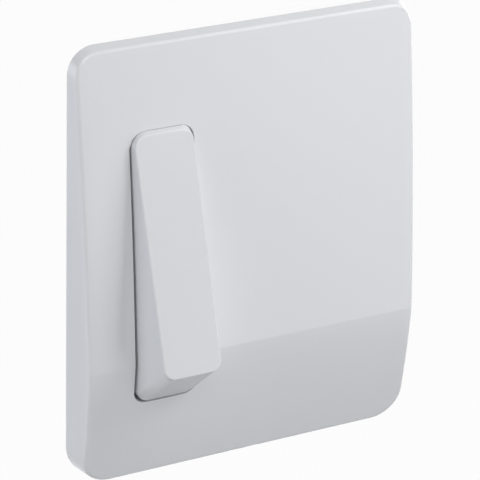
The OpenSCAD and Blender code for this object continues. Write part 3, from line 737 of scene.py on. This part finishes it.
def bellows_section(p):
    """The bellows' half section, from its front round the lip and back inside. Both walls follow
    r = root + (crest - root)(1 - cos(folds u)) / 2, where u runs round once for each fold."""
    share = np.linspace(0, 1, 20 * p.folds + 1)
    end, lip, edge, front = 0.001, 0.001, 0.0004, 0.0012
    first, last = BELLOWS_LOW.y + front, BELLOWS_HIGH.y - p.neck
    fold_y = first + (last - first) * share
    fold_r = p.root + (p.crest - p.root) * (1 - np.cos(2 * np.pi * p.folds * share)) / 2
    lip_r, lip_y = (BELLOWS_HIGH.x - BELLOWS_LOW.x) / 2, BELLOWS_HIGH.y - lip
    radius = np.concatenate([[0, p.root - edge, p.root], fold_r, [p.root, lip_r - edge, lip_r, lip_r],
                             [p.root - p.wall], fold_r[::-1] - p.wall, [p.root - p.wall, 0]])
    y = np.concatenate([[BELLOWS_LOW.y, BELLOWS_LOW.y, BELLOWS_LOW.y + edge], fold_y,
                        [lip_y, lip_y, lip_y + edge, BELLOWS_HIGH.y], [BELLOWS_HIGH.y],
                        fold_y[::-1], [BELLOWS_LOW.y + end, BELLOWS_LOW.y + end]])
    return radius, y


def coil(p):
    """The return spring: a round wire on a helix, x = (R + w cos b) cos a and z = (R + w cos b) sin a, with
    y = start + rise a + w sin b, where w is the wire's radius."""
    a = np.linspace(0, 2 * np.pi * p.turns, 40 * p.turns + 1)[:, None]
    b = np.linspace(0, 2 * np.pi, 14, endpoint=False)[None, :]
    low, high = SPRING_LOW.y + p.wire, SPRING_HIGH.y - p.wire
    reach = (SPRING_HIGH.x - SPRING_LOW.x) / 2 - p.wire
    radius = reach + p.wire * np.cos(b)
    y = low + (high - low) * a / a[-1] + p.wire * np.sin(b)
    skin = Surface()
    index = skin.add(PUMP_MIDDLE[0] + radius * np.cos(a), y, PUMP_MIDDLE[1] + radius * np.sin(a))
    for here, ahead in zip(index, index[1:]):
        skin.bridge(ahead, here)
    skin.cap(index[0][::-1])
    skin.cap(index[-1])
    return skin


def fresh_tree(owner):
    """The node tree of a new material or world, emptied."""
    owner.use_nodes = True
    owner.node_tree.nodes.clear()
    return owner.node_tree


def add_node(tree, kind, inputs=None, **settings):
    """A shader node, with its settings and its input values or links."""
    made = tree.nodes.new(kind)
    for key, value in settings.items():
        setattr(made, key, value)
    for key, value in (inputs or {}).items():
        if isinstance(value, bpy.types.NodeSocket):
            tree.links.new(value, made.inputs[key])
        else:
            made.inputs[key].default_value = value
    return made


def worked_surface():
    """The group that every finish uses: slow drifts of tone and roughness over a piece, and fine grain with
    a slight waviness as height. All three are noise on the coordinates that it is given."""
    tree = bpy.data.node_groups.new("worked_surface", "ShaderNodeTree")
    floats = ("Tone", "Roughness", "Spread", "Flow", "Grain", "Wave")
    tree.interface.new_socket("Coordinates", in_out="INPUT", socket_type="NodeSocketVector")
    tree.interface.new_socket("Colour", in_out="INPUT", socket_type="NodeSocketColor")
    for name in floats:
        tree.interface.new_socket(name, in_out="INPUT", socket_type="NodeSocketFloat")
    tree.interface.new_socket("Colour", in_out="OUTPUT", socket_type="NodeSocketColor")
    tree.interface.new_socket("Roughness", in_out="OUTPUT", socket_type="NodeSocketFloat")
    tree.interface.new_socket("Height", in_out="OUTPUT", socket_type="NodeSocketFloat")
    given = tree.nodes.new("NodeGroupInput").outputs
    result = tree.nodes.new("NodeGroupOutput")

    def noise(scale, detail):
        made = add_node(tree, "ShaderNodeTexNoise", {
            "Vector": given["Coordinates"], "Scale": scale, "Detail": detail, "Roughness": 0.55})
        return made.outputs[0]

    def spread(value, width, middle):
        offset = add_node(tree, "ShaderNodeMath", {0: width, 1: -0.5, 2: middle}, operation="MULTIPLY_ADD")
        made = add_node(tree, "ShaderNodeMath", {0: value, 1: width, 2: offset.outputs[0]},
                        operation="MULTIPLY_ADD")
        return made.outputs[0]

    flow = noise(given["Flow"], 3.0)
    drift = spread(flow, given["Tone"], 1.0)
    tinted = add_node(tree, "ShaderNodeVectorMath", {0: given["Colour"], "Scale": drift}, operation="SCALE")
    fine = noise(given["Grain"], 4.0)
    uneven = add_node(tree, "ShaderNodeMath", {0: flow, 1: fine}, operation="ADD")
    halved = add_node(tree, "ShaderNodeMath", {0: uneven.outputs[0], 1: 0.5}, operation="MULTIPLY")
    wave = noise(given["Wave"], 1.0)
    height = add_node(tree, "ShaderNodeMath", {0: wave, 1: 3.0, 2: fine}, operation="MULTIPLY_ADD")
    roughness = spread(halved.outputs[0], given["Spread"], given["Roughness"])
    tree.links.new(tinted.outputs[0], result.inputs["Colour"])
    tree.links.new(roughness, result.inputs["Roughness"])
    tree.links.new(height.outputs[0], result.inputs["Height"])


def finish(name, tint, roughness, tone=0.02, spread=0.08, flow=25.0, grain=2500.0, wave=180.0, bump=0.04,
           stretch=(1, 1, 1), metallic=0.0):
    """A material on Object coordinates: the worked surface, stretched along the way that the piece was
    drawn or turned, feeds a Principled shader, and its height a bump."""
    material = bpy.data.materials.new(name)
    material.diffuse_color = (*tint, 1)
    tree = fresh_tree(material)
    place = add_node(tree, "ShaderNodeTexCoord").outputs["Object"]
    mapped = add_node(tree, "ShaderNodeMapping", {"Vector": place, "Scale": stretch}).outputs[0]
    group = add_node(tree, "ShaderNodeGroup", node_tree=bpy.data.node_groups["worked_surface"])
    tree.links.new(mapped, group.inputs["Coordinates"])
    values = {"Colour": (*tint, 1), "Tone": tone, "Roughness": roughness, "Spread": spread, "Flow": flow,
              "Grain": grain, "Wave": wave}
    for key, value in values.items():
        group.inputs[key].default_value = value
    relief = add_node(tree, "ShaderNodeBump", {
        "Strength": bump, "Distance": 0.0004, "Height": group.outputs["Height"]})
    shader = add_node(tree, "ShaderNodeBsdfPrincipled", {
        "Base Color": group.outputs["Colour"], "Roughness": group.outputs["Roughness"],
        "Normal": relief.outputs[0], "Metallic": metallic})
    out = add_node(tree, "ShaderNodeOutputMaterial")
    tree.links.new(shader.outputs[0], out.inputs[0])


def make_finishes(c):
    """Makes every finish of the plate."""
    worked_surface()
    along_y, along_x, along_z = (1, 0.04, 1), (0.04, 1, 1), (1, 1, 0.04)
    finish("cover_white", c.white, 0.22, tone=0.012, spread=0.05, flow=14, bump=0.02)
    finish("lever_white", c.white, 0.21, tone=0.012, spread=0.05, flow=20, bump=0.02)
    finish("frame_grey", c.grey, 0.46, tone=0.10, grain=1500, bump=0.18)
    finish("cap_grey", c.grey, 0.40, tone=0.08, grain=1800, bump=0.12)
    finish("cup_black", c.black, 0.42, tone=0.14, grain=1400, bump=0.16)
    finish("pale_plastic", c.pale, 0.36, tone=0.05, grain=1200, bump=0.06)
    finish("screw_zinc", c.steel, 0.30, tone=0.14, spread=0.16, flow=160, grain=5000, stretch=along_y,
           metallic=1.0, bump=0.05)
    finish("lock_zinc", c.steel, 0.28, tone=0.12, spread=0.16, flow=160, grain=5000, stretch=along_z,
           metallic=1.0, bump=0.05)
    finish("pin_steel", c.spring, 0.24, tone=0.10, spread=0.12, flow=160, grain=6000, stretch=along_x,
           metallic=1.0, bump=0.05)
    finish("clip_steel", c.spring, 0.30, tone=0.10, spread=0.14, flow=90, grain=4000, stretch=along_x,
           metallic=1.0, bump=0.06)
    finish("turned_brass", c.brass, 0.30, tone=0.10, spread=0.14, flow=200, grain=6000, stretch=along_z,
           metallic=1.0, bump=0.05)
    finish("black_rubber", c.rubber, 0.62, tone=0.30, spread=0.16, flow=120, grain=1600, bump=0.25)


class FLUSH_OT_finishes(Operator):
    """Make the finishes, and put each on the nodes that keep their own shape"""

    bl_idname = "flush_plate.finishes"
    bl_label = "Finishes"

    def execute(self, context):
        make_finishes(context.scene.flush_finishes)
        for node, name in PLAIN_NODES.items():
            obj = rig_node(node)
            obj.data.materials.clear()
            obj.data.materials.append(bpy.data.materials[name])
        return {"FINISHED"}


class FLUSH_OT_cover(Operator):
    """Make the cover: its smooth front skin, with the ribs, legs and bosses behind it"""

    bl_idname = "flush_plate.cover"
    bl_label = "Cover"

    def execute(self, context):
        c = context.scene.flush_cover
        inside = merged_copy("cover_plate", "cover_inside")
        without_covered(inside, cover_skin(as_solid(c, SOLID_COVER)))
        shell = joined("cover_shell", cover_skin(c).piece("cover_skin"), inside)
        shade(shell)
        settle(shell, "cover_plate", bpy.data.materials["cover_white"])
        return {"FINISHED"}


class FLUSH_OT_lever(Operator):
    """Make the lever: its smooth wedge, with the webs and bosses inside it"""

    bl_idname = "flush_plate.lever"
    bl_label = "Lever"

    def execute(self, context):
        c, s = context.scene.flush_cover, context.scene.flush_lever
        solid = as_solid(s, SOLID_LEVER)
        slope = (SOLID_BASE_LOW - SOLID_BASE_HIGH) / (solid.top - solid.base)
        inside = merged_copy("flush_lever", "lever_inside")
        without_covered(inside, lever_skin(solid, lambda z: SOLID_BASE_HIGH + (solid.top - z) * slope))
        drawn = lever_skin(s, lambda z: face_depth(c, z) + s.proud)
        wedge = joined("lever_wedge", drawn.piece("lever_skin"), inside)
        shade(wedge)
        settle(wedge, "flush_lever", bpy.data.materials["lever_white"])
        return {"FINISHED"}


class FLUSH_OT_screws(Operator):
    """Cut the threads on the four fixing screws"""

    bl_idname = "flush_plate.screws"
    bl_label = "Fixing screws"

    def execute(self, context):
        t = context.scene.flush_thread
        heads = softened("fixing_screws", "screw_heads", 0.0003)
        shape = bmesh.new()
        shape.from_mesh(heads.data)
        margin, head = 0.0001, 0.0037
        plain = [f for f in shape.faces if f.calc_center_median().y > t.start + margin]
        bmesh.ops.delete(shape, geom=plain, context="FACES")
        shape.to_mesh(heads.data)
        shape.free()
        reach_x, reach_z = (SCREWS_HIGH.x - SCREWS_LOW.x) / 2, (SCREWS_HIGH.z - SCREWS_LOW.z) / 2
        ends = [cut_thread(t, (x * (reach_x - head), z * (reach_z - head)), SCREWS_HIGH.y).piece("thread")
                for x in (-1, 1) for z in (-1, 1)]
        screws = joined("wall_screws", heads, *ends)
        shade(screws)
        settle(screws, "fixing_screws", bpy.data.materials["screw_zinc"])
        return {"FINISHED"}


class FLUSH_OT_pump_inside(Operator):
    """Make the bellows, the return spring and the nipple's seal"""

    bl_idname = "flush_plate.pump_inside"
    bl_label = "Bellows, spring and seal"

    def execute(self, context):
        p = context.scene.flush_pump
        rubber = bpy.data.materials["black_rubber"]
        bellows = turned("air_bellows", *bellows_section(p), sides=96, middle=PUMP_MIDDLE, closed=False)
        spring = coil(p).piece("bellows_spring")
        steel = bpy.data.materials["pin_steel"]
        for obj, node, material in ((bellows, "bellows", rubber), (spring, "return_spring", steel)):
            shade(obj, 50)
            settle(obj, node, material)
            free = BELLOWS_HIGH.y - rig.box(node)[0].y
            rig.squash(obj, "plunger_slide", axis=(0, 1, 0), anchor=(0, BELLOWS_HIGH.y, 0),
                      keep=1 - p.travel / free)
        turn = np.linspace(0, 2 * np.pi, 20, endpoint=False)
        outer, half_wide = (SEAL_HIGH.x - SEAL_LOW.x) / 2, 0.0005
        middle_y, half_y = (SEAL_LOW.y + SEAL_HIGH.y) / 2, (SEAL_HIGH.y - SEAL_LOW.y) / 2
        radius, y = outer - half_wide + half_wide * np.cos(turn), middle_y + half_y * np.sin(turn)
        seal = turned("nipple_ring", radius, y, sides=64, middle=PUMP_MIDDLE)
        shade(seal, 60)
        settle(seal, "nipple_seal", rubber)
        return {"FINISHED"}


class FLUSH_OT_mouldings(Operator):
    """Round the edges of the moulded, folded and turned pieces"""

    bl_idname = "flush_plate.mouldings"
    bl_label = "Moulded pieces"

    def execute(self, context):
        for node, (name, material, width) in SOFTENED_NODES.items():
            settle(softened(node, name, width), node, bpy.data.materials[material])
        return {"FINISHED"}


class FLUSH_OT_stage(Operator):
    """Make the floor, the light and the camera"""

    bl_idname = "flush_plate.stage"
    bl_label = "Stage"

    def execute(self, context):
        settings = context.scene.flush_stage
        make_floor(settings)
        make_world()
        for lamp in LAMPS:
            make_lamp(*lamp)
        make_camera(settings)
        context.scene.view_settings.view_transform = "Standard"
        return {"FINISHED"}


def make_camera(s):
    """The camera, turned and rolled about the middle of the cover, then moved in its own picture plane."""
    a, e, roll = (math.radians(x) for x in (s.azimuth, s.elevation, s.roll))
    back = Vector((math.sin(a) * math.cos(e), -math.cos(a) * math.cos(e), math.sin(e)))
    level = Vector((math.cos(a), math.sin(a), 0))
    upright = back.cross(level)
    right = math.cos(roll) * level + math.sin(roll) * upright
    up = math.cos(roll) * upright - math.sin(roll) * level
    data = bpy.data.cameras.new("camera")
    data.lens, data.sensor_width = s.lens, 36.0
    data.clip_start, data.clip_end = 0.05, 20.0
    camera = bpy.data.objects.new("camera", data)
    bpy.context.scene.collection.objects.link(camera)
    place = back * s.distance + right * s.across + up * s.along
    camera.matrix_world = Matrix.Translation(place) @ Matrix((right, up, back)).transposed().to_4x4()
    bpy.context.scene.camera = camera


def make_lamp(name, azimuth, elevation, distance, size, power, tint):
    """A soft square lamp that looks at the middle of the cover."""
    a, e = math.radians(azimuth), math.radians(elevation)
    away = Vector((math.sin(a) * math.cos(e), -math.cos(a) * math.cos(e), math.sin(e)))
    data = bpy.data.lights.new(name, "AREA")
    data.energy, data.size, data.color = power, size, tint
    lamp = bpy.data.objects.new(name, data)
    bpy.context.scene.collection.objects.link(lamp)
    lamp.location = away * distance
    lamp.rotation_mode = "QUATERNION"
    lamp.rotation_quaternion = away.to_track_quat("Z", "Y")


def seen_white(tree, shader, share):
    """Mixes a share of white over a shader for rays from the camera, and for glossy and clear rays."""
    path = add_node(tree, "ShaderNodeLightPath")
    glossy = add_node(tree, "ShaderNodeMath", {
        0: path.outputs["Is Camera Ray"], 1: path.outputs["Is Glossy Ray"]}, operation="MAXIMUM")
    clear = add_node(tree, "ShaderNodeMath", {
        0: glossy.outputs[0], 1: path.outputs["Is Transmission Ray"]}, operation="MAXIMUM")
    factor = add_node(tree, "ShaderNodeMath", {0: clear.outputs[0], 1: share}, operation="MULTIPLY")
    white = add_node(tree, "ShaderNodeEmission", {"Color": (1, 1, 1, 1), "Strength": 1.0})
    mixed = add_node(tree, "ShaderNodeMixShader", {0: factor.outputs[0], 1: shader, 2: white.outputs[0]})
    return mixed.outputs[0]


def make_world():
    """Even pale light all round, seen as white."""
    world = bpy.data.worlds.new("studio")
    bpy.context.scene.world = world
    tree = fresh_tree(world)
    ambient = add_node(tree, "ShaderNodeBackground", {"Color": (1, 1, 1, 1), "Strength": AMBIENT})
    out = add_node(tree, "ShaderNodeOutputWorld")
    tree.links.new(seen_white(tree, ambient.outputs[0], 1.0), out.inputs[0])


def make_floor(s):
    """A wide pale floor of four quads below the plate, seen nearly white so that it keeps a shadow."""
    reach = np.linspace(-4, 4, 3)
    skin = Surface()
    index = skin.add(reach[None, :], reach[:, None], s.floor)
    skin.grid(index)
    floor = skin.piece("floor")
    material = bpy.data.materials.new("pale_floor")
    tree = fresh_tree(material)
    place = add_node(tree, "ShaderNodeTexCoord").outputs["Object"]
    fleck = add_node(tree, "ShaderNodeTexNoise", {"Vector": place, "Scale": 40.0, "Detail": 3.0})
    shade_of = add_node(tree, "ShaderNodeMapRange", {
        "Value": fleck.outputs["Fac"], "To Min": 0.80, "To Max": 0.82})
    matte = add_node(tree, "ShaderNodeBsdfDiffuse", {"Color": shade_of.outputs[0]})
    out = add_node(tree, "ShaderNodeOutputMaterial")
    tree.links.new(seen_white(tree, matte.outputs[0], FLOOR_WHITE), out.inputs[0])
    floor.data.materials.append(material)
    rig.stage(floor)


PLAIN_NODES = {
    "locking_insert": "turned_brass",
    "screw_washers": "screw_zinc",
    "bellows_ring": "screw_zinc",
    "plunger_pad": "black_rubber",
    "stop_pads": "black_rubber",
    "rest_pad": "black_rubber",
}
SOFTENED_NODES = {
    "mounting_frame": ("wall_frame", "frame_grey", 0.0003),
    "pump_body": ("pump_cup", "cup_black", 0.0003),
    "pump_cap": ("guide_cap", "cap_grey", 0.0002),
    "pump_screws": ("cup_screws", "screw_zinc", 0.0002),
    "retaining_clips": ("spring_clips", "clip_steel", 0.00008),
    "pivot_pin": ("lever_pin", "pin_steel", 0.0003),
    "locking_screw": ("lock_screw", "lock_zinc", 0.0002),
    "plunger": ("press_plunger", "pale_plastic", 0.0002),
    "hose_nipple": ("hose_spigot", "pale_plastic", 0.0002),
}
SOLID_COVER = {
    "lean": 0.0014,
    "edge_round": 0.0026,
    "edge_end": 0.0,
    "opening_middle": LEVER_MIDDLE,
    "opening_width": 0.0244,
    "opening_low": -0.0485,
    "opening_high": 0.0492,
    "opening_corner": 0.006,
    "opening_high_corner": 0.006,
    "opening_slant": (0.0, 0.0),
    "lip_round": 0.0005,
}
SOLID_LEVER = {
    "middle": LEVER_MIDDLE,
    "front_middle": LEVER_MIDDLE,
    "width": LEVER_HIGH.x - LEVER_LOW.x,
    "front_width": 0.0208,
    "front_spread": 0.0,
    "front_shift": 0.0,
    "top": LEVER_HIGH.z,
    "nose": -0.0298,
    "base": -0.0477,
    "base_top": LEVER_HIGH.z - 0.0001,
    "corners": (0.0054,) * 4,
    "base_slant": (0.0, 0.0),
    "front_corners": (0.0048,) * 4,
    "top_depth": 0.00855,
    "nose_depth": 0.0344,
    "edge_round": 0.0011,
}
SOLID_BASE_LOW = 0.0132
SOLID_BASE_HIGH = 0.0064
AMBIENT = 0.04
FLOOR_WHITE = 0.97
PLAIN = (1.0, 1.0, 1.0)
COOL = (0.97, 1.0, 1.05)
LAMPS = (
    ("key", 60, 45, 0.8, 0.5, 3.2, PLAIN),
    ("glint", 30, 25, 0.8, 0.2, 0.5, PLAIN),
    ("front", -10, 35, 1.6, 1.0, 12.1, PLAIN),
    ("right", 110, 10, 0.8, 0.5, 1.2, PLAIN),
    ("low", 40, -15, 1.6, 1.0, 4.7, COOL),
    ("left", -90, 10, 0.8, 0.5, 2.35, COOL),
    ("low_left", -90, -30, 0.9, 0.5, 1.0, COOL),
    ("back_left", -120, -15, 1.6, 1.0, 2.1, COOL),
    ("back", 180, 5, 1.6, 1.0, 5.0, PLAIN),
)
PIECE_OPERATORS = ("finishes", "cover", "lever", "screws", "pump_inside", "mouldings", "stage")


class FLUSH_PT_panel(Panel):
    """The sizes and colours of the flush plate, and the buttons that make it"""

    bl_idname = "FLUSH_PT_panel"
    bl_label = "Flush plate"
    bl_space_type = "VIEW_3D"
    bl_region_type = "UI"
    bl_category = "Flush plate"

    def draw(self, context):
        for attribute in SETTINGS:
            box = self.layout.box()
            group = getattr(context.scene, attribute)
            for name in group.__annotations__:
                box.prop(group, name)
        for name in PIECE_OPERATORS:
            self.layout.operator(f"flush_plate.{name}")


SETTINGS = {
    "flush_cover": CoverSizes,
    "flush_lever": LeverSizes,
    "flush_thread": ThreadSizes,
    "flush_pump": PumpSizes,
    "flush_finishes": FinishColours,
    "flush_stage": StageSettings,
}
CLASSES = (*SETTINGS.values(), FLUSH_OT_finishes, FLUSH_OT_cover, FLUSH_OT_lever, FLUSH_OT_screws,
           FLUSH_OT_pump_inside, FLUSH_OT_mouldings, FLUSH_OT_stage, FLUSH_PT_panel)


def register():
    """Registers the classes and hangs the settings on the scene."""
    for cls in CLASSES:
        bpy.utils.register_class(cls)
    for attribute, cls in SETTINGS.items():
        setattr(bpy.types.Scene, attribute, PointerProperty(type=cls))


def unregister():
    """Takes the settings and the classes off again."""
    for attribute in SETTINGS:
        delattr(bpy.types.Scene, attribute)
    for cls in reversed(CLASSES):
        bpy.utils.unregister_class(cls)


def main():
    """Makes every piece and the stage, and writes the CAD box and the dressed box."""
    register()
    for name in PIECE_OPERATORS:
        getattr(bpy.ops.flush_plate, name)()
    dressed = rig.bounds()
    with open(SIZE_FILE, "w") as file:
        json.dump({"cad": [list(p) for p in CAD_BOX], "visual": [list(p) for p in dressed]}, file)


if __name__ == "__main__":
    main()
